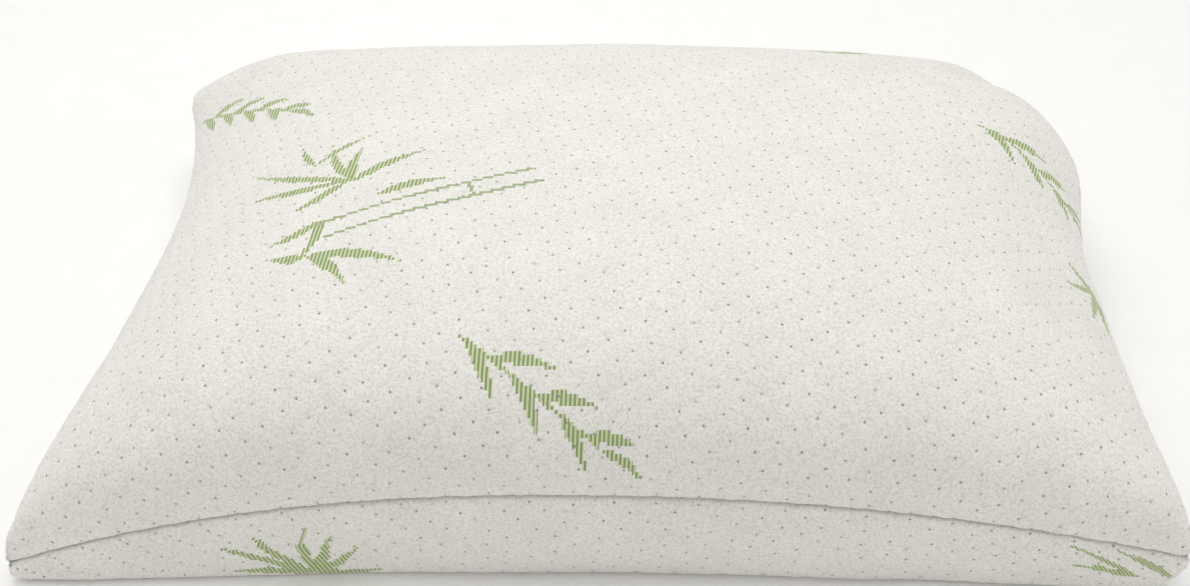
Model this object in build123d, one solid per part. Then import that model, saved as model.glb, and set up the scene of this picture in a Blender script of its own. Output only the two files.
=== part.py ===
from build123d import *
import math
import os

# Bed pillow, sizes in millimetres.
# +X runs along the length, +Y from the front long edge to the back one, +Z is up.
# The origin is at the middle of the face that the pillow rests on.
# The cover is two knitted panels, sewn together along the front and short edges.
# A coil zip closes the back long edge.  A liner bag of shredded foam fills the cover.

# ---------------------------------------------------------------- driving dimensions
LENGTH = 711.0              # corner tip to corner tip along X
DEPTH = 460.0               # corner tip to corner tip along Y
CROWN_HEIGHT = 177.0        # top of the crown above the floor

SHORT_SIDE_DRAW = 32.0      # how far the middle of a short edge draws in from its corners
BACK_DRAW = 12.0            # how far the back edge draws in from its corners
FRONT_CORNER_SEAM_Z = 29.0  # height of the seam at the front corners
FRONT_MIDDLE_SEAM_Z = 78.0  # height of the seam at the middle of the front edge
BACK_CORNER_SEAM_Z = 41.0
BACK_MIDDLE_SEAM_Z = 73.5
SHORT_SIDE_RISE = 11.5      # how much higher the seam is at the middle of a short edge
BELLY_DROP = 130.0          # how far the belly would hang below the seam with no floor under it

COVER_WALL = 1.6            # thickness of the knitted cover
SEAM_HALF_BAND = 3.0        # half the height of the blunt edge at the cover's seam
LINER_GAP = 0.8             # play between the cover and the liner
LINER_WALL = 0.8            # thickness of the liner cloth
FILL_GAP = 0.5              # play between the liner and the fill

SEAM_PLAY = 0.1             # between the two panels at a seam
THREAD_CLEARANCE = 0.1      # between a seam thread and the wall that it runs along
COVER_THREAD = 0.7          # size of the cover's seam thread, across and up
LINER_THREAD = 0.25         # size of the liner's seam thread

ZIP_INSET = 115.5           # from a corner tip to the end of the gap between the cover panels
ZIP_GAP_HALF_HEIGHT = 6.0   # from the zip's centre line to a panel's folded edge
ZIP_TAPE_END = 8.0          # how far a tape runs on past each end of the opening
ZIP_TAPE_WIDTH = 14.0       # one tape
ZIP_TAPE_THICKNESS = 0.6
COIL_WIDTH = 2.5            # one coil row, across the zip
COIL_THICKNESS = 2.0
CHAIN_HALF_GAP = 0.7        # from the centre line to a coil row, room for the slider's post
STOP_LENGTH = 2.5           # along the zip
STOP_INSET = 6.0            # from the end of the opening to a stop's outer end
STITCH_LINE = 9.5           # from the zip's centre line to a row of stitches
STITCH_WIDTH = 0.8
STITCH_PROUD = 0.5          # how far stitches stand out of the knit
STITCH_LENGTH = 5.0
STITCH_PITCH = 8.0
BAR_TACK_WIDTH = 2.0
BAR_TACK_HEIGHT = 11.0

SLIDER_LENGTH = 11.0
SLIDER_PLATE = 1.0          # thickness of a slider plate
SLIDER_CLEARANCE = 0.3      # between the slider and what it slides over
SLIDER_FLANGE = 1.4         # thickness of the slider's side walls
SLIDER_NOSE = 2.6           # how far the closed end tapers
SLIDER_POST_LENGTH = 3.0    # the wedge that joins the slider's two plates
BAIL_WIDTH = 2.0            # the arch on the slider that holds the pull tab
BAIL_THICKNESS = 1.0
BAIL_HALF_SPAN = 3.4        # from the hinge line to the outside of the arch
TAB_LENGTH = 24.0
TAB_WIDTH = 6.0
TAB_THICKNESS = 1.2
TAB_BAR = 1.2               # diameter of the tab's hinge bar
TAB_CLEARANCE = 0.3
TAB_GRIP_HOLE_LENGTH = 7.0
TAB_GRIP_HOLE_WIDTH = 2.4

LABEL_WIDTH = 30.0
LABEL_DROP = 40.0
LABEL_THICKNESS = 0.4
LABEL_FROM_TAPE = 5.0       # from the end of a zip tape to the care label
LABEL_TOP_Z = 66.0
LABEL_CLEARANCE = 0.05

# ---------------------------------------------------------------- worked-out dimensions
HALF_LENGTH = LENGTH / 2
HALF_DEPTH = DEPTH / 2
BACK_Y = HALF_DEPTH - BACK_DRAW                   # outer face of the back edge by the zip
TAPE_FACE_Y = BACK_Y - 2 * COVER_WALL             # flat inner face: the knit is folded double there
TAPE_BACK_Y = TAPE_FACE_Y - ZIP_TAPE_THICKNESS
COIL_FACE_Y = TAPE_FACE_Y + COIL_THICKNESS
PLATE_IN_Y = TAPE_BACK_Y - SLIDER_CLEARANCE - SLIDER_PLATE
PLATE_OUT_Y = COIL_FACE_Y + SLIDER_CLEARANCE + SLIDER_PLATE
LINER_BACK_Y = PLATE_IN_Y - 3 * SLIDER_CLEARANCE  # outer face of the liner behind the zip
LINER_BACK_DRAW = TAPE_FACE_Y - LINER_GAP - LINER_BACK_Y
ZIP_Z = BACK_MIDDLE_SEAM_Z - 1.5                  # the zip's centre line, straight along X
ZIP_OPENING = LENGTH - 2 * ZIP_INSET
HALF_OPENING = ZIP_OPENING / 2
STOP_X = HALF_OPENING - STOP_INSET                # outer end of a stop
COIL_END_X = STOP_X - STOP_LENGTH
COIL_OUT = CHAIN_HALF_GAP + COIL_WIDTH            # from the centre line to a coil row's far side
SLIDER_HALF_WIDTH = COIL_OUT + SLIDER_CLEARANCE + SLIDER_FLANGE
SLIDER_X = COIL_END_X - SLIDER_CLEARANCE - SLIDER_LENGTH / 2
SLIDER_TRAVEL = 2 * SLIDER_X
LABEL_X = -(HALF_OPENING + ZIP_TAPE_END + LABEL_FROM_TAPE + LABEL_WIDTH / 2)


# ---------------------------------------------------------------- pillow-shaped solids
# A soft solid is two Bezier sheets, upper and lower, and a narrow band that joins their edges.
# The stations crowd towards the corners, and the sheets rise steeply from a blunt edge.
STATIONS = (-1, -0.93, -0.8, -0.5, 0, 0.5, 0.8, 0.93, 1)
BLUNT_STATIONS = (-1, -1, -0.86, -0.5, 0, 0.5, 0.86, 1, 1)
SWELL = (0, 0.93, 1, 1, 1, 1, 1, 0.93, 0)
LAST = len(STATIONS) - 1


def bezier_middle(values):
    """Value of a Bezier curve halfway along it, from its control values."""
    return sum(math.comb(LAST, k) * value for k, value in enumerate(values)) / 2**LAST


def seam_height(i, y):
    """Height of the seam at station i along X and at depth y: a blend of its front and back edges."""
    arch = 1 - abs(STATIONS[i]) ** 2.2
    front = FRONT_CORNER_SEAM_Z + (FRONT_MIDDLE_SEAM_Z - FRONT_CORNER_SEAM_Z) * arch
    back = BACK_CORNER_SEAM_Z if i in (0, LAST) else BACK_MIDDLE_SEAM_Z
    share = (y + HALF_DEPTH) / DEPTH
    return front * (1 - share) + back * share + SHORT_SIDE_RISE * (1 - (y / HALF_DEPTH) ** 2)


class Form:
    """Sizes of one pillow-shaped layer: the cover's outside or inside, the liner's, or the fill's."""

    def __init__(self, margin, band, back_y, back_draw):
        self.margin = margin            # how far inside the cover's outer face it lies
        self.band = band                # half the height of its edge
        self.back_y = back_y            # Y of the middle of its back edge
        self.back_draw = back_draw      # how far that edge draws in from the corners

    def place(self, i, j, swell_i, swell_j):
        """X, Y and seam height of control point (i, j); where the form swells, it leans outwards."""
        u = STATIONS[i] + (BLUNT_STATIONS[i] - STATIONS[i]) * swell_j
        v = STATIONS[j] + (BLUNT_STATIONS[j] - STATIONS[j]) * swell_i
        share = (v + 1) / 2
        back_y = self.back_y + (self.back_draw if i in (0, LAST) else 0)
        y = back_y * share - (HALF_DEPTH - self.margin) * (1 - share)
        half_x = HALF_LENGTH - self.margin - SHORT_SIDE_DRAW * (1 - (y / HALF_DEPTH) ** 2)
        return u * half_x, y, seam_height(i, y)

    def net(self, side):
        """Control points of the upper (1) or lower (-1) sheet, or of the seam sheet (0)."""
        swell = SWELL if side else [0] * len(SWELL)
        rows = [[self.place(i, j, swell[i], swell[j]) for j in range(LAST + 1)] for i in range(LAST + 1)]
        if side > 0:
            centre_z = bezier_middle([bezier_middle([z for x, y, z in row]) for row in rows])
            rise = (CROWN_HEIGHT - self.margin - centre_z - self.band) / bezier_middle(SWELL) ** 2
        else:
            rise = BELLY_DROP - self.margin - self.band
        return [[(x, y, z + side * (self.band + rise * swell[i] * swell[j]))
                 for j, (x, y, z) in enumerate(row)] for i, row in enumerate(rows)]

    def moved_in(self, depth):
        """The same form with its edges moved inwards."""
        return Form(self.margin + depth, self.band, self.back_y - depth, self.back_draw)

    def solid(self, low_side, high_side):
        """Closed solid between two of the sheets; a seam sheet leaves half the play at the seam."""
        low, high = self.net(low_side), self.net(high_side)
        if low_side == 0:
            low = [shifted(row, SEAM_PLAY / 2) for row in low]
        if high_side == 0:
            high = [shifted(row, -SEAM_PLAY / 2) for row in high]
        faces = [Face.make_bezier_surface(low), Face.make_bezier_surface(high)]
        for low_edge, high_edge in zip(edges_of(low), edges_of(high)):
            faces.append(Face.make_bezier_surface([low_edge, high_edge]))
        return Solid(Shell(Face.sew_faces(faces)[0]))


def edges_of(net):
    """The four edge rows of a control net."""
    return net[0], net[-1], [row[0] for row in net], [row[-1] for row in net]


def seam_ring(form, size):
    """Thin thread of square section that runs round a form, just inside its edge."""
    outer = form.moved_in(THREAD_CLEARANCE).net(0)
    inner = form.moved_in(THREAD_CLEARANCE + size).net(0)
    faces = []
    for outer_edge, inner_edge in zip(edges_of(outer), edges_of(inner)):
        corners = [shifted(outer_edge, -size / 2), shifted(inner_edge, -size / 2),
                   shifted(inner_edge, size / 2), shifted(outer_edge, size / 2)]
        for k in range(4):
            faces.append(Face.make_bezier_surface([corners[k], corners[k - 1]]))
    return Solid(Shell(Face.sew_faces(faces)[0]))


def shifted(edge, lift):
    """A row of control points moved up by lift."""
    return [(x, y, z + lift) for x, y, z in edge]


def block(x0, x1, y0, y1, z0, z1):
    """Box between two corners."""
    size = (x1 - x0, y1 - y0, z1 - z0)
    return Pos((x0 + x1) / 2, (y0 + y1) / 2, (z0 + z1) / 2) * Box(*size)


def above(z):
    """Everything over a level, as wide as the pillow and more."""
    return block(-LENGTH, LENGTH, -DEPTH, DEPTH, z, z + 3 * CROWN_HEIGHT)


def in_front_of(y):
    """Everything in front of a plane across Y."""
    return block(-LENGTH, LENGTH, -DEPTH, y, -CROWN_HEIGHT, 3 * CROWN_HEIGHT)


def back_edge_y(form, x):
    """Y of a form's back edge at a distance x from the middle, where the edge bows towards its corners."""
    edge = [row[-1] for row in form.net(0)]

    def point(t, axis):
        weights = [math.comb(LAST, k) * t**k * (1 - t)**(LAST - k) for k in range(LAST + 1)]
        return sum(weight * place[axis] for weight, place in zip(weights, edge))

    low, high = 0.5, 1.0
    for _ in range(30):
        middle = (low + high) / 2
        low, high = (middle, high) if point(middle, 0) < x else (low, middle)
    return point(low, 1)


# Layers from the outside in.
cover_outside = Form(0, SEAM_HALF_BAND, BACK_Y, BACK_DRAW)
cover_inside = Form(COVER_WALL, SEAM_HALF_BAND - COVER_WALL, BACK_Y - COVER_WALL, BACK_DRAW)
liner_margin = COVER_WALL + LINER_GAP
liner_outside = Form(liner_margin, cover_inside.band * 0.6, LINER_BACK_Y, LINER_BACK_DRAW)
liner_inside = Form(liner_margin + LINER_WALL, cover_inside.band * 0.3,
                    LINER_BACK_Y - LINER_WALL, LINER_BACK_DRAW)
fill_margin = liner_margin + LINER_WALL + FILL_GAP
fill_form = Form(fill_margin, cover_inside.band * 0.15,
                 LINER_BACK_Y - LINER_WALL - FILL_GAP, LINER_BACK_DRAW)


# Hinge line of the pull tab.  At the far end of its travel the tab lies over the bar tack and the
# bowed edge past the opening, and it clears the slider's own plate everywhere.
far_reach = SLIDER_X + TAB_LENGTH
over_the_tack = back_edge_y(cover_outside, far_reach) + STITCH_PROUD + TAB_CLEARANCE + TAB_THICKNESS / 2
over_the_plate = PLATE_OUT_Y + TAB_CLEARANCE + TAB_BAR / 2
TAB_Y = max(over_the_tack, over_the_plate)


def cover():
    """The two knitted panels, their seam thread, and the zip opening cut through them."""
    hollow = cover_inside.solid(-1, 1) & above(COVER_WALL) & in_front_of(TAPE_FACE_Y)
    opening = block(-HALF_OPENING, HALF_OPENING, PLATE_IN_Y, 2 * DEPTH,
                    ZIP_Z - ZIP_GAP_HALF_HEIGHT, ZIP_Z + ZIP_GAP_HALF_HEIGHT)
    thread = seam_ring(cover_inside, COVER_THREAD) & in_front_of(TAPE_FACE_Y - THREAD_CLEARANCE)
    top = cover_outside.solid(0, 1) - hollow - opening
    bottom = (cover_outside.solid(-1, 0) & above(0)) - hollow - opening
    return {"cover_top_panel": top, "cover_bottom_panel": bottom, "cover_seam_thread": thread}


def liner():
    """The inner bag: two cloth panels and their seam thread."""
    hollow = liner_inside.solid(-1, 1) & above(liner_margin + LINER_WALL)
    thread = seam_ring(liner_inside, LINER_THREAD)
    top = liner_outside.solid(0, 1) - hollow
    bottom = (liner_outside.solid(-1, 0) & above(liner_margin)) - hollow
    return {"liner_top_panel": top, "liner_bottom_panel": bottom, "liner_seam_thread": thread}


def fill():
    """Shredded foam, as one closed solid."""
    return {"foam_fill": fill_form.solid(-1, 1) & above(fill_margin)}


def zip_tapes_and_coils():
    """Two woven tapes behind the panel edges, with a coil row on the inner edge of each."""
    nodes = {}
    for name, side in (("upper", 1), ("lower", -1)):
        tape_z = sorted((ZIP_Z + side * CHAIN_HALF_GAP, ZIP_Z + side * (CHAIN_HALF_GAP + ZIP_TAPE_WIDTH)))
        coil_z = sorted((ZIP_Z + side * CHAIN_HALF_GAP, ZIP_Z + side * COIL_OUT))
        tape_x = HALF_OPENING + ZIP_TAPE_END
        nodes[f"zip_tape_{name}"] = block(-tape_x, tape_x, TAPE_BACK_Y, TAPE_FACE_Y, *tape_z)
        coil = block(-COIL_END_X, COIL_END_X, TAPE_FACE_Y, COIL_FACE_Y, *coil_z)
        crest = coil.edges().filter_by(Axis.X).group_by(Axis.Y)[-1]
        nodes[f"zip_coil_{name}"] = fillet(crest, COIL_THICKNESS * 0.4)
    return nodes


def zip_stops():
    """Two stops at the closed end, one on each coil row, and one across both at the other end."""
    proud = COIL_FACE_Y + SLIDER_CLEARANCE
    tops = Part()
    for side in (1, -1):
        reach = sorted((ZIP_Z + side * CHAIN_HALF_GAP, ZIP_Z + side * COIL_OUT))
        tops += block(COIL_END_X, STOP_X, TAPE_FACE_Y, proud, *reach)
    bottom = block(-STOP_X, -COIL_END_X, TAPE_FACE_Y, proud, ZIP_Z - COIL_OUT, ZIP_Z + COIL_OUT)
    bottom = chamfer(bottom.faces().sort_by(Axis.Y)[-1].edges(), SLIDER_CLEARANCE)
    return {"zip_top_stops": tops, "zip_bottom_stop": bottom}


def thread_on_cover(z, height):
    """A ridge of thread on the back of the cover's outer face, at height z."""
    layer = Form(-STITCH_PROUD, SEAM_HALF_BAND + STITCH_PROUD, BACK_Y + STITCH_PROUD, BACK_DRAW)
    strip = block(-LENGTH, LENGTH, BACK_Y - ZIP_TAPE_WIDTH, DEPTH, z - height / 2, z + height / 2)
    return (layer.solid(-1, 1) & strip) - cover_outside.solid(-1, 1)


def slices(places, length):
    """Tall blocks across the pillow's back, each of one length along X."""
    return Part() + [block(x - length / 2, x + length / 2, 0, DEPTH, 0, CROWN_HEIGHT) for x in places]


def zip_stitching():
    """Rows of stitches over the panels, and a bar tack across each end of the zip."""
    count = int((ZIP_OPENING + ZIP_TAPE_END) / STITCH_PITCH)
    places = [(k - (count - 1) / 2) * STITCH_PITCH for k in range(count)]
    nodes = {}
    for name, side in (("upper", 1), ("lower", -1)):
        ridge = thread_on_cover(ZIP_Z + side * STITCH_LINE, STITCH_WIDTH)
        nodes[f"zip_stitching_{name}"] = ridge & slices(places, STITCH_LENGTH)
    tack_x = HALF_OPENING + BAR_TACK_WIDTH
    ridge = thread_on_cover(ZIP_Z, BAR_TACK_HEIGHT)
    nodes["zip_bar_tacks"] = ridge & slices((-tack_x, tack_x), BAR_TACK_WIDTH)
    return nodes


def slider_plate(y0, y1):
    """One plate of the slider, seen from behind: broad at its open end, narrower at its nose."""
    half = SLIDER_LENGTH / 2
    narrow = SLIDER_HALF_WIDTH - SLIDER_FLANGE / 2
    corners = [(SLIDER_X - half, -narrow), (SLIDER_X + half - SLIDER_NOSE, -SLIDER_HALF_WIDTH),
               (SLIDER_X + half, -narrow), (SLIDER_X + half, narrow),
               (SLIDER_X + half - SLIDER_NOSE, SLIDER_HALF_WIDTH), (SLIDER_X - half, narrow)]
    outline = [(x, y0, ZIP_Z + z) for x, z in corners]
    return extrude(Face(Wire.make_polygon(outline)), amount=y1 - y0, dir=(0, 1, 0))


def zip_slider():
    """Two plates joined by a wedge between the coil rows, side walls, and the bail."""
    outer = slider_plate(PLATE_OUT_Y - SLIDER_PLATE, PLATE_OUT_Y)
    inner = slider_plate(PLATE_IN_Y, PLATE_IN_Y + SLIDER_PLATE)
    walls_out = slider_plate(TAPE_FACE_Y + SLIDER_CLEARANCE, PLATE_OUT_Y)
    channel = COIL_OUT + SLIDER_CLEARANCE
    walls_out -= block(-LENGTH, LENGTH, 0, PLATE_OUT_Y - SLIDER_PLATE, ZIP_Z - channel, ZIP_Z + channel)
    post_z = CHAIN_HALF_GAP - SLIDER_CLEARANCE
    nose = SLIDER_X + SLIDER_LENGTH / 2
    post = block(nose - SLIDER_POST_LENGTH, nose, PLATE_IN_Y, PLATE_OUT_Y, ZIP_Z - post_z, ZIP_Z + post_z)
    bail_top = TAB_Y + TAB_BAR / 2 + TAB_CLEARANCE + BAIL_THICKNESS
    bail = block(SLIDER_X - BAIL_HALF_SPAN, SLIDER_X + BAIL_HALF_SPAN, PLATE_OUT_Y, bail_top,
                 ZIP_Z - BAIL_WIDTH / 2, ZIP_Z + BAIL_WIDTH / 2)
    shoulders = bail.edges().filter_by(Axis.Z).group_by(Axis.Y)[-1]
    bail = fillet(shoulders, BAIL_THICKNESS)
    inside = BAIL_HALF_SPAN - BAIL_THICKNESS
    bail -= block(SLIDER_X - inside, SLIDER_X + inside, PLATE_OUT_Y, bail_top - BAIL_THICKNESS,
                  ZIP_Z - BAIL_WIDTH, ZIP_Z + BAIL_WIDTH)
    return {"zip_slider": outer + inner + walls_out + post + bail}


def zip_pull_tab():
    """Flat tab with a grip hole, and an eye whose bar turns under the bail."""
    eye = BAIL_WIDTH / 2 + TAB_CLEARANCE
    eye_end = SLIDER_X - BAIL_HALF_SPAN - TAB_CLEARANCE
    far_end = SLIDER_X - TAB_LENGTH
    half = TAB_THICKNESS / 2
    plate = block(far_end, SLIDER_X, TAB_Y - half, TAB_Y + half, ZIP_Z - TAB_WIDTH / 2, ZIP_Z + TAB_WIDTH / 2)
    plate = fillet(plate.edges().filter_by(Axis.Y).group_by(Axis.X)[0], TAB_WIDTH * 0.4)
    plate -= block(eye_end, SLIDER_X, 0, DEPTH, ZIP_Z - eye, ZIP_Z + eye)
    grip_x = far_end + TAB_WIDTH / 2 + TAB_GRIP_HOLE_LENGTH / 2
    grip = block(grip_x - TAB_GRIP_HOLE_LENGTH / 2, grip_x + TAB_GRIP_HOLE_LENGTH / 2,
                 TAB_Y - TAB_THICKNESS, TAB_Y + TAB_THICKNESS,
                 ZIP_Z - TAB_GRIP_HOLE_WIDTH / 2, ZIP_Z + TAB_GRIP_HOLE_WIDTH / 2)
    plate -= fillet(grip.edges().filter_by(Axis.Y), TAB_GRIP_HOLE_WIDTH * 0.45)
    bar = Pos(SLIDER_X, TAB_Y, ZIP_Z) * Cylinder(TAB_BAR / 2, TAB_WIDTH)
    return {"zip_pull_tab": plate + bar}


def care_label():
    """Blank satin tag that hangs from the back seam, beside the end of the zip."""
    x = LABEL_X + LABEL_WIDTH / 2
    tag = block(LABEL_X - LABEL_WIDTH / 2, x, BACK_Y, BACK_Y + BACK_DRAW,
                LABEL_TOP_Z - LABEL_DROP, LABEL_TOP_Z)
    seam_y = (tag & cover_outside.solid(-1, 1)).bounding_box().max.Y + LABEL_CLEARANCE
    return {"care_label": tag & block(-LENGTH, LENGTH, seam_y, seam_y + LABEL_THICKNESS, 0, CROWN_HEIGHT)}


def main():
    os.makedirs("parts", exist_ok=True)
    nodes = {}
    for build in (cover, liner, fill, zip_tapes_and_coils, zip_stops, zip_stitching,
                  zip_slider, zip_pull_tab, care_label):
        nodes.update(build())
    for name, shape in nodes.items():
        export_step(shape, f"parts/{name}.step")
        box = shape.bounding_box()
        print(f"{name:22s} solids {len(shape.solids()):3d}  volume {shape.volume:12.1f}  "
              f"X {box.min.X:8.2f} {box.max.X:8.2f}  Y {box.min.Y:8.2f} {box.max.Y:8.2f}  "
              f"Z {box.min.Z:7.2f} {box.max.Z:7.2f}")
    print("slider at rest", round(SLIDER_X, 3), round(TAB_Y, 3), ZIP_Z, "travel", round(SLIDER_TRAVEL, 3))


main()
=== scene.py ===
# %% [markdown]
# # A bed pillow in a zip-off knit cover
# The pillow has a knitted cover in two panels, a coil zip along its back edge, and a liner bag
# of shredded foam inside.  The CAD model holds where everything is and how the zip moves.
# This file gives the pieces their looks.  Lengths are in metres, in the CAD model's own frame:
# +X runs along the pillow, +Y towards the zip, and +Z is up from the face it lies on.

# %% Load the CAD frame
import math
import bmesh
import bpy
import numpy as np
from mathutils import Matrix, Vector


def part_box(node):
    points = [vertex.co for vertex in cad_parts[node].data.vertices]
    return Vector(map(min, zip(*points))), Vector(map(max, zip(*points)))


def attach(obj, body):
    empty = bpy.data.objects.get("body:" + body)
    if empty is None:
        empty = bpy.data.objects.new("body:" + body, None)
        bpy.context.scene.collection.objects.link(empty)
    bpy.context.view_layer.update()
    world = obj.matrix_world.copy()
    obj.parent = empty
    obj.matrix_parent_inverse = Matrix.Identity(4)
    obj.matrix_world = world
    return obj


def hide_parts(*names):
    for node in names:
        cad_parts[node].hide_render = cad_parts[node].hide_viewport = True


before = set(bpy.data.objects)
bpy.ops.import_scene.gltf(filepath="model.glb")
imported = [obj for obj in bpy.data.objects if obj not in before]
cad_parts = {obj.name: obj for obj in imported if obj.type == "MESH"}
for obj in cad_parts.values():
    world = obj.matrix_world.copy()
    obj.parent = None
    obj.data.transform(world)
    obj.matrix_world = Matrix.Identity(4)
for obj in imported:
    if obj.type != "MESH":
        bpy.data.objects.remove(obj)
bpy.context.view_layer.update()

MM = 0.001

# %% [markdown]
# ## Camera, floor and light
# Bedding is usually shown from above one long edge, with a normal lens, on white paper under
# large soft lights.  One big area light overhead gives the pale top and the greyer lower front,
# and a weaker one at each side keeps the edges readable against the floor.

# %% Camera
FOCAL_MM = 49.0
ELEVATION, YAW = math.radians(37.7), math.radians(1.65)
AIM, DISTANCE = np.array([-0.0083, -0.0037, 0.0518]), 1.134
toward_camera = np.array([math.sin(YAW) * math.cos(ELEVATION),
                          -math.cos(YAW) * math.cos(ELEVATION), math.sin(ELEVATION)])
camera = bpy.data.objects.new("camera", bpy.data.cameras.new("camera"))
bpy.context.scene.collection.objects.link(camera)
camera.location = AIM + toward_camera * DISTANCE
camera.rotation_euler = (math.pi / 2 - ELEVATION, 0, YAW)
camera.data.sensor_width = 36.0
camera.data.lens = FOCAL_MM
camera.data.clip_start = 0.01
bpy.context.scene.camera = camera
print("camera at", [round(v, 3) for v in camera.location])


# %% Soft boxes
def soft_box(name, place, aim, size, watts):
    """A square area light at place, turned so that it shines at aim."""
    light = bpy.data.lights.new(name, "AREA")
    light.size, light.energy = size, watts
    lamp = bpy.data.objects.new(name, light)
    bpy.context.scene.collection.objects.link(lamp)
    lamp.location = place
    back = Vector(place) - Vector(aim)
    lamp.rotation_euler = back.to_track_quat("Z", "Y").to_euler()
    return lamp


soft_box("overhead", (-0.2, 0.35, 1.8), (0, 0, 0.1), 1.6, 17)
soft_box("left_fill", (-1.6, -0.7, 0.9), (0, 0, 0.1), 1.0, 2)
soft_box("right_fill", (1.7, -0.5, 0.8), (0, 0, 0.1), 1.0, 3.5)
world = bpy.data.worlds.new("studio")
bpy.context.scene.world = world
world.use_nodes = True
world.node_tree.nodes["Background"].inputs["Color"].default_value = (1.0, 0.985, 0.965, 1)
world.node_tree.nodes["Background"].inputs["Strength"].default_value = 0.62
bpy.context.scene.view_settings.view_transform = "Standard"   # white cloth stays white

# %% [markdown]
# ## Helpers
# Colours are written as the sRGB hex values that a paint or dye chart gives, and turned to the
# linear values that shaders want.  One function adds a shader node with its settings and links.
# Meshes come from whole arrays: a grid of points, or a ring of points carried along a path.


# %% Colour and node helpers
def srgb(text):
    """Linear RGBA of an sRGB hex colour: the piecewise sRGB curve, channel by channel."""
    c = np.array([int(text[k:k + 2], 16) for k in (1, 3, 5)]) / 255
    linear = np.where(c <= 0.04045, c / 12.92, ((c + 0.055) / 1.055) ** 2.4)
    return (*linear.tolist(), 1.0)


def add(material, kind, settings=None, **inputs):
    """Adds a shader node; an input is a value or another node's output socket."""
    node = material.node_tree.nodes.new("ShaderNode" + kind)
    for key, value in (settings or {}).items():
        setattr(node, key, value)
    for key, value in inputs.items():
        key = key.replace("_", " ")
        socket = node.inputs[int(key[2:])] if key.startswith("in") else node.inputs[key]
        if isinstance(value, bpy.types.NodeSocket):
            material.node_tree.links.new(value, socket)
        else:
            socket.default_value = value
    return node


def finish(name, **shader):
    """A new material; returns it with its Principled shader, whose constant sockets are set."""
    material = bpy.data.materials.new(name)
    material.use_nodes = True
    principled = material.node_tree.nodes["Principled BSDF"]
    for key, value in shader.items():
        principled.inputs[key.replace("_", " ")].default_value = value
    return material, principled


def join(material, output, principled, socket):
    """Links an output to one of the shader's sockets."""
    material.node_tree.links.new(output, principled.inputs[socket])


# %% Mesh helpers
def grid_faces(rows, columns, start=0, wrap=False):
    """Quads of a grid of points stored row by row; wrap closes each row into a ring."""
    i, j = np.meshgrid(np.arange(rows - 1), np.arange(columns if wrap else columns - 1), indexing="ij")
    k = (j + 1) % columns
    return (np.stack([i * columns + j, i * columns + k, (i + 1) * columns + k, (i + 1) * columns + j], -1)
            .reshape(-1, 4) + start)


def put(name, points, faces, material=None):
    """A mesh object from an array of points and an array of faces."""
    mesh = bpy.data.meshes.new(name)
    mesh.from_pydata(points.reshape(-1, 3).tolist(), [], [list(map(int, f)) for f in faces])
    mesh.polygons.foreach_set("use_smooth", np.full(len(mesh.polygons), True))
    mesh.update()
    piece = bpy.data.objects.new(name, mesh)
    bpy.context.scene.collection.objects.link(piece)
    if material:
        mesh.materials.append(material)
    return piece


def unit(vectors):
    """Vectors made one unit long."""
    return vectors / np.maximum(np.linalg.norm(vectors, axis=-1, keepdims=True), 1e-12)


def between(x, at, points):
    """Points for the values x, by straight lines between points that belong to the values at."""
    return np.stack([np.interp(x, at, points[:, c]) for c in range(3)], -1)


def tube(path, radius, sides, closed=False):
    """Points and faces of a round tube: rings of points square to the path, each in its own frame."""
    ahead = unit(np.roll(path, -1, 0) - np.roll(path, 1, 0))
    if not closed:
        ahead[0], ahead[-1] = unit(path[1] - path[0]), unit(path[-1] - path[-2])
    side = unit(np.cross(ahead, [0.02, 0.05, 1.0]))
    up = np.cross(side, ahead)
    turn = np.arange(sides) * 2 * math.pi / sides
    ring = np.cos(turn)[:, None] * side[:, None] + np.sin(turn)[:, None] * up[:, None]
    points = path[:, None] + radius * ring
    faces = grid_faces(len(path) + closed, sides, wrap=True)
    if closed:
        faces %= len(path) * sides
        return points, faces.tolist()
    caps = [list(range(sides))[::-1], [(len(path) - 1) * sides + k for k in range(sides)]]
    return points, faces.tolist() + caps


# %% [markdown]
# ## The shape of a stuffed bag
# A pillow cover is cut flat, and takes its shape from what is stuffed in it:
# its corners stay as pointed ears, its short edges draw in, and its seams lift off the bed.
# The shape could be sculpted by hand, but a formula keeps the cloth's own grid, so the knit
# and its motif later follow the surface.  It starts as a seam line in space, then a crown and
# a belly that rise steeply from that line.  The points then slide along the surface until they
# are evenly spaced, as stitches are, because the steep part would stretch the first of them.

# %% Driving sizes
FLAT = np.array([0.762, 0.557])         # the cloth as stretched over the crown: the arcs printed below
STITCH = 2.2 * MM                       # one cell of the jacquard pattern
CELLS = (np.round(FLAT / STITCH / 4) * 4).astype(int)
CORNERS = {"front_left": (-0.3565, -0.2345, 0.0165), "front_right": (0.350, -0.2256, 0.0338),
           "back_left": (-0.3413, 0.2297, 0.0521), "back_right": (0.347, 0.2240, 0.0307)}
CORNERS = {name: np.array(place) for name, place in CORNERS.items()}
LEFT_DRAW, RIGHT_DRAW = 0.0415, 0.023    # how far the short edges draw in
FRONT_SEAM_Z, LEFT_SEAM_Z, RIGHT_SEAM_Z = 0.078, 0.0435, 0.049
CROWN_RISE, BELLY_DROP = 0.088, 0.1315   # above and below the seam, with no floor
FULLNESS, BLUNTNESS = 2.6, 0.26
LEAN = -0.108                           # the crown sits a little off the middle
SHOULDER = 0.0465                       # the back right shoulder pushes out
HALF_LENGTH, HALF_DEPTH = 0.326, 0.223  # about the bag's half size, for spacing points along an arc
FRONT_DRAW = 0.7 * MM                   # the front seam is almost straight
ARC_SAMPLES = 400                       # points at which that arc is measured

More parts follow.
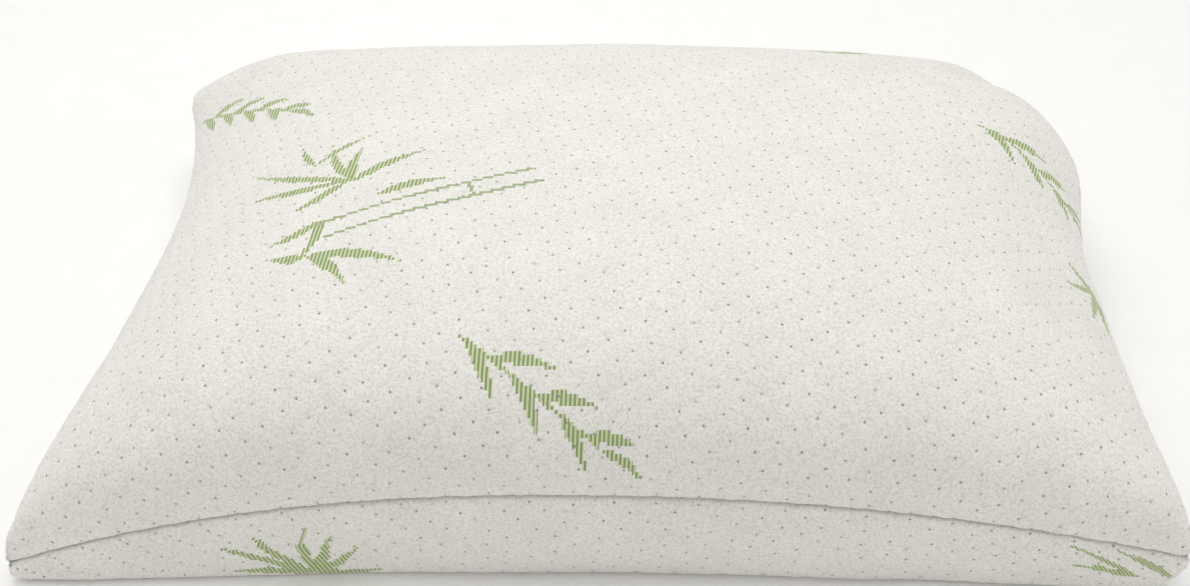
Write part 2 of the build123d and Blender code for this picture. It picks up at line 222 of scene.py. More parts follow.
tape_low, tape_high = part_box("zip_tape_lower"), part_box("zip_tape_upper")
ZIP_Z = (tape_low[0].z + tape_high[1].z) / 2
TAPE_FACE_Y = tape_low[1].y
COVER_WALL = 1.6 * MM
ZIP_EDGE_Y = TAPE_FACE_Y + 2 * COVER_WALL
ZIP_HALF = tape_low[1].x - 8 * MM       # half the opening between the panels
ZIP_GAP = 6 * MM                        # from the zip's centre line to a panel's folded edge
TURN_AFTER, TURN_OVER = 12 * MM, 85 * MM    # past the zip, the seam leaves its straight line
FLOOR_BEND, FLOOR_FADE = 5 * MM, 20 * MM    # how roundly the cloth comes down onto the bed
print("cells", CELLS, "zip height", round(ZIP_Z, 4), "zip half length", round(ZIP_HALF, 4))


# %% Seam line and swell
def smooth_step(t):
    """0 below 0, 1 above 1, and an S-shaped cubic between."""
    t = np.clip(t, 0, 1)
    return t * t * (3 - 2 * t)


def blunt(t):
    """Profile across the bag: steep at the seams (t = -1 and 1), nearly flat in the middle."""
    return (1 - np.abs(t).clip(0, 1) ** FULLNESS) ** BLUNTNESS


def arc_even(half_width, height, floor=None):
    """Maps even steps of cloth, -1 to 1, to even steps of arc length along the blunt profile."""
    t = np.sin(np.linspace(0, math.pi / 2, ARC_SAMPLES))
    z = height * blunt(t)
    if floor is not None:
        z = np.minimum(z, floor)
    run = np.concatenate([[0], np.cumsum(np.hypot(half_width * np.diff(t), np.diff(z)))])
    return lambda p: np.sign(p) * np.interp(np.abs(p), run / run[-1], t)


def edge_line(start, end, t, draw, middle_z, axis=1):
    """Seam between two corners: drawn in by a parabola, and lifted to middle_z between them."""
    line = start * (1 - t[..., None]) / 2 + end * (1 + t[..., None]) / 2
    line[..., axis] += draw * (1 - t * t)
    lift = 1 - np.abs(t) ** 2.2
    line[..., 2] = line[..., 2] * (1 - lift) + middle_z * lift
    return line


def back_line(t):
    """Back seam: straight and level along the zip, then out to the two corners."""
    line = CORNERS["back_left"] * (1 - t[..., None]) / 2 + CORNERS["back_right"] * (1 + t[..., None]) / 2
    away = smooth_step((np.abs(line[..., 0]) - ZIP_HALF - TURN_AFTER) / TURN_OVER)
    line[..., 1] = ZIP_EDGE_Y + (line[..., 1] - ZIP_EDGE_Y) * away
    line[..., 2] = ZIP_Z + (line[..., 2] - ZIP_Z) * away
    return line


def seam_sheet(xi, eta):
    """Coons patch: blends the four seam lines, and takes away the corners counted twice."""
    corner = CORNERS
    front = edge_line(corner["front_left"], corner["front_right"], xi, FRONT_DRAW, FRONT_SEAM_Z)
    left = edge_line(corner["front_left"], corner["back_left"], eta, LEFT_DRAW, LEFT_SEAM_Z, 0)
    right = edge_line(corner["front_right"], corner["back_right"], eta, -RIGHT_DRAW, RIGHT_SEAM_Z, 0)
    u, v = (xi[..., None] + 1) / 2, (eta[..., None] + 1) / 2
    twice = ((1 - u) * (1 - v) * corner["front_left"] + u * (1 - v) * corner["front_right"]
             + (1 - u) * v * corner["back_left"] + u * v * corner["back_right"])
    return (1 - v) * front + v * back_line(xi) + (1 - u) * left + u * right - twice


def soft_floor(z):
    """z kept above 0 with a rounded bend: half of z plus the root of z squared and a small radius."""
    bent = (z + np.sqrt(z * z + FLOOR_BEND**2)) / 2
    return np.maximum(bent - FLOOR_BEND / 2 * np.exp(-np.abs(z) / FLOOR_FADE), 0)


def formed(p, q, side):
    """Point of the top (side 1) or bottom (-1) panel: a seam sheet, plus a swell steep at every seam."""
    height, floor = (CROWN_RISE, None) if side > 0 else (BELLY_DROP, FRONT_SEAM_Z)
    xi, eta = arc_even(HALF_LENGTH, height, floor)(p), arc_even(HALF_DEPTH, height, floor)(q)
    place = seam_sheet(xi, eta)
    leaning = np.clip(xi - LEAN * (1 - xi**2), -1, 1)
    swell = blunt(leaning) * blunt(eta)
    if side > 0:
        place[..., 2] += CROWN_RISE * swell
        shoulder = np.exp(-((xi - 0.9) / 0.35) ** 2 - ((eta - 0.45) / 0.35) ** 2)
        place[..., 0] += SHOULDER * shoulder * swell
    else:
        seam_z = place[..., 2].copy()
        sunk = (soft_floor(seam_z) - seam_z) * (1 - swell)
        place[..., 2] = soft_floor(seam_z - BELLY_DROP * swell) - sunk
    return place


def even_steps(place, axis):
    """Slides a grid's points along its lines until each line's steps are equally long in space."""
    lines = np.moveaxis(place, axis, 1)
    run = np.cumsum(np.linalg.norm(np.diff(lines, axis=1), axis=-1) + 1e-9, axis=1)
    run = np.concatenate([np.zeros_like(run[:, :1]), run], 1) / run[:, -1:]
    own = 2.0 * np.arange(len(lines))[:, None]      # keeps each line's lengths apart from the next one's
    wanted = (np.linspace(0, 1, lines.shape[1]) + own).ravel()
    slid = between(wanted, (run + own).ravel(), lines.reshape(-1, 3))
    return np.moveaxis(slid.reshape(lines.shape), 1, axis)


def cloth_grid(counts):
    """Flat cloth coordinates, -1 to 1, at the corners of counts cells."""
    return np.meshgrid(np.linspace(-1, 1, counts[0] + 1), np.linspace(-1, 1, counts[1] + 1), indexing="ij")


FINER = 2                               # the form is worked out on a grid this much finer than the stitches
form = {}
for side in (1, -1):
    form[side] = formed(*cloth_grid(CELLS * FINER), side)
    for axis in (1, 0, 1, 0):
        form[side] = even_steps(form[side], axis)


def stuffed(counts, side):
    """Points of a panel's form at the corners of counts cells of cloth."""
    step = CELLS[0] * FINER // counts[0]
    return form[side][::step, ::step].copy()


trial = stuffed(CELLS, 1)
arc = [np.linalg.norm(np.diff(trial, axis=k), axis=-1) for k in (0, 1)]
totals = [steps.sum(k) for k, steps in enumerate(arc)]
print("crown height", round(trial[..., 2].max(), 4), "middle arcs",
      [round(float(total[len(total) // 2]), 4) for total in totals])
for side in (1, -1):
    first = np.linalg.norm(form[side][::64, FINER] - form[side][::64, 0], axis=-1)
    print("first stitch in from the front seam, mm:", (first / MM).round(1))

# %% [markdown]
# ## Letting the fill push the cloth out
# A formula is too even for a bag of crumbs.  Blender's Cloth gives the bag pressure from inside
# while its seams and the patch on the bed are held.  The cloth at rest is a little larger than
# the formula's surface, as a real cover has spare cloth, so it puckers where the seams hold it.
# The broad swell would blur the outline that the formula gives, so only a quarter of it is kept,
# and the fine folds are kept whole.  What is left moves the top by under a millimetre on average
# and about 7 mm at most, so the pillow's form is mainly the formula's.

# %% Simulate the bag
PRESSURE, FRAMES, SPARE_CLOTH = 4.0, 20, 1.012
CAP = 24 * MM                           # how far a point may move
SWELL_KEPT = 0.25


def bag_points(counts):
    """Points of both panels with one shared seam, and each panel's index of its points."""
    top, bottom = stuffed(counts, 1), stuffed(counts, -1)
    rows, columns = top.shape[:2]
    upper = np.arange(rows * columns).reshape(rows, columns)
    lower = upper.copy()
    lower[1:-1, 1:-1] = upper.size + np.arange((rows - 2) * (columns - 2)).reshape(rows - 2, columns - 2)
    return np.concatenate([top.reshape(-1, 3), bottom[1:-1, 1:-1].reshape(-1, 3)]), upper, lower


def blur(field, width):
    """Running mean over width cells both ways, with the edge values carried on outwards."""
    for axis in (0, 1):
        pad = [(width // 2, width // 2) if k == axis else (0, 0) for k in range(field.ndim)]
        total = np.cumsum(np.pad(field, pad, mode="edge"), axis=axis)
        total = np.concatenate([np.zeros_like(total.take([0], axis)), total], axis)
        size = field.shape[axis]
        span = 2 * (width // 2) + 1
        field = (total.take(range(span, size + span), axis) - total.take(range(size), axis)) / span
    return field


def simulate(counts):
    """How far the Cloth moves each point of the two panels, capped: array (2, rows, columns, 3)."""
    points, upper, lower = bag_points(counts)
    quads = grid_faces(*upper.shape)
    faces = np.concatenate([upper.ravel()[quads][:, ::-1], lower.ravel()[quads]])
    bag = put("bag", points, faces)
    bag.shape_key_add(name="start")
    roomy = bag.shape_key_add(name="roomy")
    middle = points.mean(0)
    roomy.data.foreach_set("co", (middle + (points - middle) * SPARE_CLOTH).ravel())
    held = np.zeros(len(points), bool)
    held[upper[[0, -1]].ravel()] = held[upper[:, [0, -1]].ravel()] = True
    held |= points[:, 2] < 0.5 * MM
    group = bag.vertex_groups.new(name="held")
    group.add(np.flatnonzero(held).tolist(), 1.0, "REPLACE")
    cloth = bag.modifiers.new("cloth", "CLOTH")
    settings = cloth.settings
    settings.vertex_group_mass = "held"
    settings.rest_shape_key = roomy
    settings.use_pressure, settings.uniform_pressure_force = True, PRESSURE
    settings.effector_weights.gravity = 0
    settings.quality, settings.mass = 5, 0.3
    settings.tension_stiffness = settings.compression_stiffness = 25
    settings.bending_stiffness = 2.0
    cloth.point_cache.frame_start, cloth.point_cache.frame_end = 1, FRAMES
    for step in range(1, FRAMES + 1):
        bpy.context.scene.frame_set(step)
    settled = bag.evaluated_get(bpy.context.evaluated_depsgraph_get()).to_mesh()
    moved = np.zeros(len(points) * 3)
    settled.vertices.foreach_get("co", moved)
    moved = moved.reshape(-1, 3) - points
    bpy.context.scene.frame_set(1)
    bpy.data.objects.remove(bag)
    length = np.linalg.norm(moved, axis=1, keepdims=True)
    moved *= np.minimum(1, CAP / np.maximum(length, 1e-9))
    print("cloth moved, mean and most:", round(float(length.mean()), 4), round(float(length.max()), 4))
    return np.stack([moved[upper], moved[lower]])


coarse = CELLS // 4
pushed = simulate(coarse)
broad = np.stack([blur(panel, 11) for panel in pushed])
pushed = pushed - (1 - SWELL_KEPT) * broad


# %% [markdown]
# ## The knit's own relief
# At the seam the two panels turn in and meet in a crease, with the cloth plump on both sides.
# Away from it the fill's clumps show as soft lumps.  The knit is quilted by rows of tiny tucks,
# 26 mm apart along a row and with under 7 mm between rows, and each pulls a shallow dimple.

# %% Fine surface of a panel
def resample(field, counts):
    """Values of a grid at the corners of counts cells, by straight lines between its own points."""
    for axis in (0, 1):
        at = np.linspace(0, field.shape[axis] - 1, counts[axis] + 1)
        low = np.minimum(at.astype(int), field.shape[axis] - 2)
        share = (at - low).reshape([-1 if k == axis else 1 for k in range(field.ndim)])
        field = field.take(low, axis) * (1 - share) + field.take(low + 1, axis) * share
    return field


def normals(place):
    """Unit normals of a grid of points: the cross product of its two directions."""
    return unit(np.cross(np.gradient(place, axis=0), np.gradient(place, axis=1)))


def lumps(x, y, count, radius, height, draws):
    """Sum of rounded bumps, half of them hollows, at random places on the cloth."""
    total = np.zeros_like(x)
    for cx, cy, r, h in zip(draws.uniform(-0.38, 0.38, count), draws.uniform(-0.28, 0.28, count),
                            draws.uniform(0.6, 1.2, count) * radius, draws.uniform(-1, 1, count) * height):
        total += h * np.exp(-((x - cx) ** 2 + (y - cy) ** 2) / r**2)
    return total


TUCK_ROWS, TUCK_PITCH, TUCK_SHIFT = 6.7 * MM, 26.0 * MM, 10.4 * MM
TUCK_DEPTH, TUCK_RADIUS, TUCK_ASTRAY = 0.45 * MM, 3.6 * MM, 1.6 * MM
TUCK_SEED = 5                           # both uses of the tucks draw the same places


def nearest_tuck(x, y, draws):
    """Flat place of the nearest tuck: rows of tucks, each row shifted along, each tuck a bit astray."""
    astray = draws.uniform(-TUCK_ASTRAY, TUCK_ASTRAY, (128, 64, 2))
    row = np.round(y / TUCK_ROWS).astype(int)
    best, place = np.full(x.shape, np.inf), np.zeros(x.shape + (2,))
    for r in (row - 2, row - 1, row, row + 1, row + 2):
        column = np.round((x - r * TUCK_SHIFT) / TUCK_PITCH).astype(int)
        spot = np.stack([column * TUCK_PITCH + r * TUCK_SHIFT, r * TUCK_ROWS], -1)
        spot = spot + astray[r % 128, column % 64]
        away = np.hypot(x - spot[..., 0], y - spot[..., 1])
        place = np.where((away < best)[..., None], spot, place)
        best = np.minimum(away, best)
    return place, best


def on_surface(outer, flat):
    """Points of a panel's surface over flat places: straight lines between the four points around each."""
    at = (flat / FLAT + 0.5) * CELLS
    low = np.clip(at.astype(int), 0, CELLS - 1)
    share = np.clip(at - low, 0, 1)
    i, j, u, v = low[..., 0], low[..., 1], share[..., :1], share[..., 1:]
    return ((1 - u) * (1 - v) * outer[i, j] + u * (1 - v) * outer[i + 1, j]
            + (1 - u) * v * outer[i, j + 1] + u * v * outer[i + 1, j + 1])


CREASE, CREASE_WIDTH = 2.8 * MM, 1.5 * MM
PUCKER, PUCKER_REACH = 0.55 * MM, 20 * MM
PUCKER_WAVES = 17 * MM, 29 * MM         # two wavelengths along the seam, so that no pattern shows
BY_ZIP = 30 * MM                        # the zip's hold on the cloth fades out over this distance
LUMPS, LUMP_RADIUS, LUMP_HEIGHT = 90, 38 * MM, 1.6 * MM
SEAM_FREE = 14 * MM                     # nearer the seam than this, cloth is held more and more


def zip_gap(x):
    """1 along the zip, falling to 0 past its ends, where the panels meet again."""
    return smooth_step((ZIP_HALF + 3 * MM - np.abs(x)) / (6 * MM))


def tacked_flat(x, from_back):
    """1 on the cloth that the zip's stitching and bar tacks hold flat, fading to 0 around it."""
    along = smooth_step((ZIP_HALF + 50 * MM - np.abs(x)) / BY_ZIP)
    return along * (1 - smooth_step((from_back - 8 * MM) / BY_ZIP))


def panel_surface(side, counts, draws):
    """Outer surface of a panel, its normals, and each point's distance from the seam."""
    p, q = cloth_grid(counts)
    place = stuffed(counts, side)
    x, y = p * FLAT[0] / 2, q * FLAT[1] / 2
    seam = np.minimum(FLAT[0] / 2 - np.abs(x), FLAT[1] / 2 - np.abs(y))
    free = smooth_step(seam / SEAM_FREE)[..., None]
    moved = resample(pushed[0 if side > 0 else 1], counts)
    place = place + blur(blur(moved, 5), 5) * free
    out = normals(blur(place, 5)) * side
    from_back = FLAT[1] / 2 - y
    at_zip = zip_gap(place[..., 0]) * (1 - smooth_step(from_back / BY_ZIP))
    plump = CREASE * (1 - np.exp(-seam / CREASE_WIDTH))
    along = np.where(FLAT[0] / 2 - np.abs(x) < FLAT[1] / 2 - np.abs(y), y, x)
    wave = (np.sin(along * 2 * math.pi / PUCKER_WAVES[0] + 3 * np.sin(along * 31))
            + 0.7 * np.sin(along * 2 * math.pi / PUCKER_WAVES[1] + 2 * np.sin(along * 23)))
    pucker = PUCKER * wave * np.exp(-seam / PUCKER_REACH) * (1 - np.exp(-seam / (3 * MM)))
    relief = plump + pucker + lumps(x, y, LUMPS, LUMP_RADIUS, LUMP_HEIGHT, draws) * free[..., 0]
    to_tuck = nearest_tuck(x, y, np.random.default_rng(TUCK_SEED))[1]
    relief = relief - TUCK_DEPTH * np.exp(-(to_tuck / TUCK_RADIUS) ** 2)
    on_bed = smooth_step(place[..., 2] / (6 * MM)) if side < 0 else 1.0
    place = place + out * (relief * (1 - tacked_flat(place[..., 0], from_back)) * on_bed)[..., None]
    place[..., 2] += side * ZIP_GAP * at_zip
    place[..., 2] = np.maximum(place[..., 2], 0)
    return place, normals(blur(place, 3)) * side, seam


def shell(name, outer, outward, side, wall, coarser, material):
    """Closed shell: the outer grid, a coarser grid a wall's thickness in, and a strip joining their rims."""
    rows, columns = outer.shape[:2]
    i, j = np.arange(0, rows, coarser), np.arange(0, columns, coarser)
    inner = (outer - outward * wall[..., None])[np.ix_(i, j)]
    inner[..., 2] = np.maximum(inner[..., 2], 0.4 * MM)
    outer_faces = grid_faces(rows, columns)
    inner_faces = grid_faces(len(i), len(j), rows * columns)
    front, back = (outer_faces[:, ::-1], inner_faces) if side > 0 else (outer_faces, inner_faces[:, ::-1])
    ring = rim(np.arange(rows * columns).reshape(rows, columns))
    inside = rim(rows * columns + np.arange(len(i) * len(j)).reshape(len(i), len(j)))
    strip = []
    for k in range(len(inside)):
        fan = [ring[(k * coarser + n) % len(ring)] for n in range(coarser + 1)]
        strip.append(fan + [inside[(k + 1) % len(inside)], inside[k]])
    if side < 0:
        strip = [face[::-1] for face in strip]
    points = np.concatenate([outer.reshape(-1, 3), inner.reshape(-1, 3)])
    piece = put(name, points, front.tolist() + back.tolist() + strip, material)
    return piece, len(front)


def rim(index):
    """The outline of a grid's indices, once round."""
    return np.concatenate([index[:-1, 0], index[-1, :-1], index[:0:-1, -1], index[0, :0:-1]]).tolist()


# %% [markdown]
# ## The leaf motif
# The pattern is knitted in: where a needle brings the green yarn up, a stitch shows green, so
# every edge of a leaf is a flight of stitch-sized steps.  That makes one face of the grid one
# stitch.  Leaves and stalks are drawn on the flat cloth, and each stitch asks if it is inside.

# %% Draw the motif
STALK = 2.4                             # width of a thin line, in millimetres as all of the motif is


def leaf_mask(x, y, base, angle, length, width):
    """Inside a long pointed leaf: narrower than a sine-shaped belly that leans to its base."""
    along = (x - base[0]) * math.cos(angle) + (y - base[1]) * math.sin(angle)
    across = -(x - base[0]) * math.sin(angle) + (y - base[1]) * math.cos(angle)
    t = np.clip(along / length, 0, 1)
    bend = 0.06 * length * np.sin(math.pi * t)
    inside = np.abs(across - bend) < width / 2 * np.sin(math.pi * t**0.7)
    return inside & (along > 0) & (along < length)


def line_mask(x, y, start, end, width):
    """Inside a straight stroke."""
    step = np.array(end) - np.array(start)
    length = np.hypot(*step)
    along = ((x - start[0]) * step[0] + (y - start[1]) * step[1]) / length
    across = ((x - start[0]) * step[1] - (y - start[1]) * step[0]) / length
    return (np.abs(across) < width / 2) & (along > 0) & (along < length)


def fan(x, y, base, tips, width):
    """Leaves that share a base, one to each tip."""
    mask = np.zeros(x.shape, bool)
    for tip in tips:
        reach = np.array(tip) - np.array(base)
        mask |= leaf_mask(x, y, base, math.atan2(reach[1], reach[0]), np.hypot(*reach), width)
    return mask


def sprig(x, y, start, heading, pairs, size, width=7.0):
    """A stem with solid pointed leaves to either hand in turn, shorter towards its tip."""
    turn = math.radians(heading)
    ahead = np.array([math.cos(turn), math.sin(turn)])
    end = np.array(start) + ahead * pairs * size
    mask = line_mask(x, y, start, end, STALK) | leaf_mask(x, y, end, turn, size, width * 0.8)
    for k in range(2 * pairs):
        hand = 1 if k % 2 else -1
        base = np.array(start) + ahead * (k / 2 + 0.2) * size
        mask |= leaf_mask(x, y, base, turn + hand * math.radians(27), 1.2 * size * (1 - 0.05 * k), width)
    return mask


def motif(x, y, side):
    """The two yarn patterns on a panel, in millimetres on the flat cloth: leaves, and thin stalk lines."""
    if side > 0:
        leaves = fan(x, y, (-172, -30), [(-250, 5), (-244, -30), (-206, -60), (-194, 18)], 6.0)
        leaves |= fan(x, y, (-170, -34), [(-172, 8), (-124, -2)], 8.0)
        leaves |= fan(x, y, (-200, -6), [(-166, 26), (-216, 22)], 5.0)
        leaves |= fan(x, y, (-150, -53), [(-104, -40)], 8.0)
        leaves |= fan(x, y, (-180, -72), [(-186, -106), (-212, -90)], 7.0)
        leaves |= fan(x, y, (-182, -106), [(-118, -122), (-152, -134), (-208, -102)], 7.5)
        leaves |= sprig(x, y, (-80, -176), -38, 3, 36)
        leaves |= sprig(x, y, (-336, 174), -42, 4, 32)
        leaves |= sprig(x, y, (232, 62), -18, 3, 32)
        leaves |= fan(x, y, (330, -58), [(306, -40), (316, -98), (334, -104), (300, -70)], 6.5)
        leaves |= fan(x, y, (180, 190), [(120, 205), (128, 178), (150, 226), (176, 232)], 7.0)
        stalks = line_mask(x, y, (-181, -76), (-52, -34), STALK)
        stalks |= line_mask(x, y, (-176, -91), (-44, -47), STALK)
        stalks |= line_mask(x, y, (-92, -46), (-86, -61), STALK)
        return leaves, stalks
    leaves = fan(x, y, (-176, -217), [(-224, -252), (-204, -260), (-223, -226), (-170, -262)], 6.5)
    leaves |= fan(x, y, (-176, -217), [(-150, -256), (-138, -241), (-130, -217)], 6.5)
    leaves |= fan(x, y, (326, -243), [(293, -271), (284, -248)], 6.5)
    leaves |= fan(x, y, (346, -246), [(327, -275), (338, -273)], 7.0)
    leaves |= fan(x, y, (20, 40), [(-50, 60), (-44, 28), (-20, 84), (16, 104), (-12, 2)], 7.0)
    leaves |= sprig(x, y, (-150, 110), 20, 4, 34)
    stalks = line_mask(x, y, (20, 40), (130, 90), STALK) | line_mask(x, y, (24, 31), (134, 81), STALK)
    return leaves, stalks


# %% [markdown]
# ## Finishes
# ** Jacquard double knit**, polyester and viscose: matt, with a fine grain of loops about a
# millimetre apart and a soft sheen where fibres stand up at the edge.  The green yarn comes up
# every second course, so it reads as stripes.  Each tuck is a pinprick, drawn as a grey dot of
# painted shade for its tiny hollow, and painted shade darkens the cloth along the seam crease.

# %% Knit
def knit_material():
    """Off-white knit with green-striped motif stitches, with painted shade as grey dots at the tucks and
    along the seam crease.
    """
    material, shader = finish("jacquard_double_knit", Roughness=0.93, Sheen_Weight=0.22,
                              Sheen_Roughness=0.5, Specular_IOR_Level=0.18)
    uv = add(material, "UVMap", {"uv_map": "cloth"}).outputs["UV"]
    flat = add(material, "SeparateXYZ", Vector=uv)
    tuck = add(material, "Attribute", {"attribute_name": "tuck"}).outputs["Vector"]
    place = add(material, "TexCoord").outputs["Object"]
    to_tuck = add(material, "VectorMath", {"operation": "DISTANCE"}, in0=place, in1=tuck).outputs["Value"]
    wobble = add(material, "TexNoise", Vector=place, Scale=1 / (1.1 * MM), Detail=1.0)
    grain = add(material, "TexNoise", Vector=place, Scale=1 / (1.6 * MM), Detail=3.0, Roughness=0.6)
    cloudy = add(material, "TexNoise", Vector=place, Scale=1 / (36 * MM), Detail=3.0)
    base = add(material, "MixRGB", Color1=srgb("#E6E4DE"), Color2=srgb("#F3F1EC"),
               Fac=cloudy.outputs["Fac"])
    speckle = add(material, "MapRange", Value=grain.outputs["Fac"], From_Min=0.34, From_Max=0.56,
                  To_Min=0.80, To_Max=1.0)
    speckled = add(material, "MixRGB", {"blend_type": "MULTIPLY"}, Fac=1.0, Color1=base.outputs["Color"],
                 Color2=speckle.outputs["Result"])
    course = add(material, "Math", {"operation": "SINE"},
                 in0=add(material, "Math", {"operation": "MULTIPLY"}, in0=flat.outputs["X"],
                         in1=2 * math.pi / (2.5 * MM)).outputs["Value"])
    stripe = add(material, "MapRange", Value=course.outputs["Value"], From_Min=-0.5, From_Max=0.6)
    green = add(material, "MixRGB", Color1=srgb("#8C9A6E"), Color2=srgb("#C9D6A9"),
                Fac=stripe.outputs["Result"])
    leaf = add(material, "Attribute", {"attribute_name": "leaf"}).outputs["Fac"]
    stalk = add(material, "Attribute", {"attribute_name": "stalk"}).outputs["Fac"]
    with_leaf = add(material, "MixRGB", Color1=speckled.outputs["Color"], Color2=green.outputs["Color"],
                    Fac=leaf)
    with_stalk = add(material, "MixRGB", Color1=with_leaf.outputs["Color"], Color2=srgb("#A3B08A"),
                     Fac=stalk)
    # Painted shade: a grey dot within 0.4 to 1.1 mm of each tuck stands for the shade in its tiny hollow,
    # stronger at some tucks than at others.
    painted_tuck_shade = add(material, "MapRange", Value=to_tuck, From_Min=0.4 * MM, From_Max=1.1 * MM,
                To_Min=1.0, To_Max=0.0)
    patchy = add(material, "TexNoise", Vector=tuck, Scale=1 / (9 * MM), Detail=1.0)
    strength = add(material, "MapRange", Value=patchy.outputs["Fac"], From_Min=0.3, From_Max=0.6,
                   To_Min=0.5, To_Max=1.0)
    tuck_shade_amount = add(material, "Math", {"operation": "MULTIPLY"}, in0=painted_tuck_shade.outputs["Result"],
                 in1=strength.outputs["Result"])
    full = add(material, "MixRGB", Color1=with_stalk.outputs["Color"], Color2=srgb("#8E8D80"),
               Fac=tuck_shade_amount.outputs["Value"])
    # Painted shade: the colour is darkened to 0.66 right at the seam and back to full 2 mm from it, as shade
    # in the crease.
    seam_distance = add(material, "Attribute", {"attribute_name": "seam"}).outputs["Fac"]
    painted_crease_shade = add(material, "MapRange", Value=seam_distance, From_Min=0.3 * MM, From_Max=2.0 * MM,
               To_Min=0.66, To_Max=1.0)
    full = add(material, "MixRGB", {"blend_type": "MULTIPLY"}, Fac=1.0, Color1=full.outputs["Color"],
               Color2=painted_crease_shade.outputs["Result"])
    join(material, full.outputs["Color"], shader, "Base Color")
    hollow = add(material, "MapRange", Value=to_tuck, From_Min=0.0, From_Max=1.5 * MM,
                 To_Min=-0.9, To_Max=0.0)
    height = add(material, "Math", {"operation": "ADD"}, in0=grain.outputs["Fac"],
                 in1=hollow.outputs["Result"])
    with_loops = add(material, "Math", {"operation": "MULTIPLY_ADD"}, in0=wobble.outputs["Fac"], in1=0.5,
                     in2=height.outputs["Value"])
    raised = add(material, "Math", {"operation": "MULTIPLY_ADD"}, in0=leaf, in1=0.5,
                 in2=with_loops.outputs["Value"])
    bump = add(material, "Bump", Strength=0.75, Distance=0.6 * MM, Height=raised.outputs["Value"])
    join(material, bump.outputs["Normal"], shader, "Normal")
    return material


def grained(name, dark, light, grain_mm, bump_mm, weave=False, **shader):
    """A finish with an even grain: noise, or crossed threads for a weave, in colour and in relief."""
    material, principled = finish(name, **shader)
    place = add(material, "TexCoord").outputs["Object"]
    if weave:
        warp, weft = (add(material, "TexWave", {"bands_direction": d}, Vector=place,
                          Scale=1 / (grain_mm * MM * 6.4), Distortion=0.6).outputs["Fac"] for d in "XZ")
        pattern = add(material, "Math", {"operation": "MULTIPLY"}, in0=warp, in1=weft).outputs["Value"]
    else:
        noise = add(material, "TexNoise", Vector=place, Scale=1 / (grain_mm * MM), Detail=3.0)
        pattern = noise.outputs["Fac"]
    tone = add(material, "MixRGB", Color1=srgb(dark), Color2=srgb(light), Fac=pattern)
    join(material, tone.outputs["Color"], principled, "Base Color")
    bump = add(material, "Bump", Strength=0.5, Distance=bump_mm * MM, Height=pattern)
    join(material, bump.outputs["Normal"], principled, "Normal")
    return material


knit = knit_material()
liner_weave = grained("plain_woven_polyester", "#DEDDD8", "#F1F0EC", 0.5, 0.1, True, Roughness=0.85)
foam_crumb = grained("shredded_polyurethane_foam", "#C9B98C", "#F0E6C8", 7.0, 3.0, Roughness=0.95)
thread = grained("spun_polyester_thread", "#D8D7D0", "#EFEEE9", 0.35, 0.1, Roughness=0.7, Sheen_Weight=0.2)
tape_weave = grained("woven_polyester_tape", "#D2D1CA", "#EEEDE8", 0.5, 0.12, True, Roughness=0.8)
nylon = grained("nylon_monofilament", "#DEDED8", "#F2F2EE", 1.0, 0.02, Roughness=0.32, IOR=1.53)
enamel = grained("enamelled_zinc", "#DCDBD5", "#EDECE7", 3.0, 0.04, Roughness=0.26, Coat_Weight=0.4)
satin = grained("woven_satin", "#E6E6E3", "#F8F8F6", 0.4, 0.05, True, Roughness=0.38, Sheen_Weight=0.3)

# %% [markdown]
# ## The two cover panels
# Each panel is a closed shell of cloth 1.6 mm thick.  Beside the zip its edge is turned in and
# sewn down, so it is twice as thick there.

# %% Cover panels
INNER_STEP = 4                          # stitches to one cell of an inner surface
TURNED_IN = 16 * MM                     # the doubled edge thins to a single one over this width
NO_TUCK = 9.0                           # metres: so far off that a face without a tuck shows none
panels = {}
for name, side in (("top", 1), ("bottom", -1)):
    outer, outward, seam = panel_surface(side, CELLS, np.random.default_rng(3 + side))
    p, q = cloth_grid(CELLS)
    doubled = zip_gap(outer[..., 0]) * (1 - smooth_step(FLAT[1] / 2 * (1 - q) / TURNED_IN))
    wall = COVER_WALL * (1 + doubled)
    piece, stitches = shell(f"cover_{name}_knit", outer, outward, side, wall, INNER_STEP, knit)
    flat = np.stack([p * FLAT[0] / 2, q * FLAT[1] / 2], -1)
    centre = (flat[:-1, :-1] + flat[1:, 1:]) / 2
    leaves, stalks = motif(centre[..., 0] / MM, centre[..., 1] / MM, side)
    tuck = nearest_tuck(centre[..., 0], centre[..., 1], np.random.default_rng(TUCK_SEED))[0]
    count = len(piece.data.polygons)
    for label, mask in (("leaf", leaves), ("stalk", stalks)):
        values = np.zeros(count)
        values[:stitches] = mask.reshape(-1)
        piece.data.attributes.new(label, "FLOAT", "FACE").data.foreach_set("value", values)
    spots = np.full((count, 3), NO_TUCK)
    spots[:stitches] = on_surface(outer, tuck).reshape(-1, 3)
    piece.data.attributes.new("tuck", "FLOAT_VECTOR", "FACE").data.foreach_set("vector", spots.ravel())
    inside = (slice(None, None, INNER_STEP),) * 2
    # Each point's flat distance from the seam, which the knit reads to paint shade into the crease.
    edge = np.concatenate([seam.ravel(), seam[inside].ravel()])
    piece.data.attributes.new("seam", "FLOAT", "POINT").data.foreach_set("value", edge)
    uv = np.concatenate([flat.reshape(-1, 2), flat[inside].reshape(-1, 2)])
    corner = np.zeros(len(piece.data.loops), int)
    piece.data.loops.foreach_get("vertex_index", corner)
    piece.data.uv_layers.new(name="cloth").data.foreach_set("uv", uv[corner].ravel())
    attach(piece, "pillow")
    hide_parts(f"cover_{name}_panel")
    panels[side] = (outer, outward)
    print(piece.name, "stitches", stitches, "green", int(leaves.sum()), "box z", outer[..., 2].min().round(4),
          outer[..., 2].max().round(4))

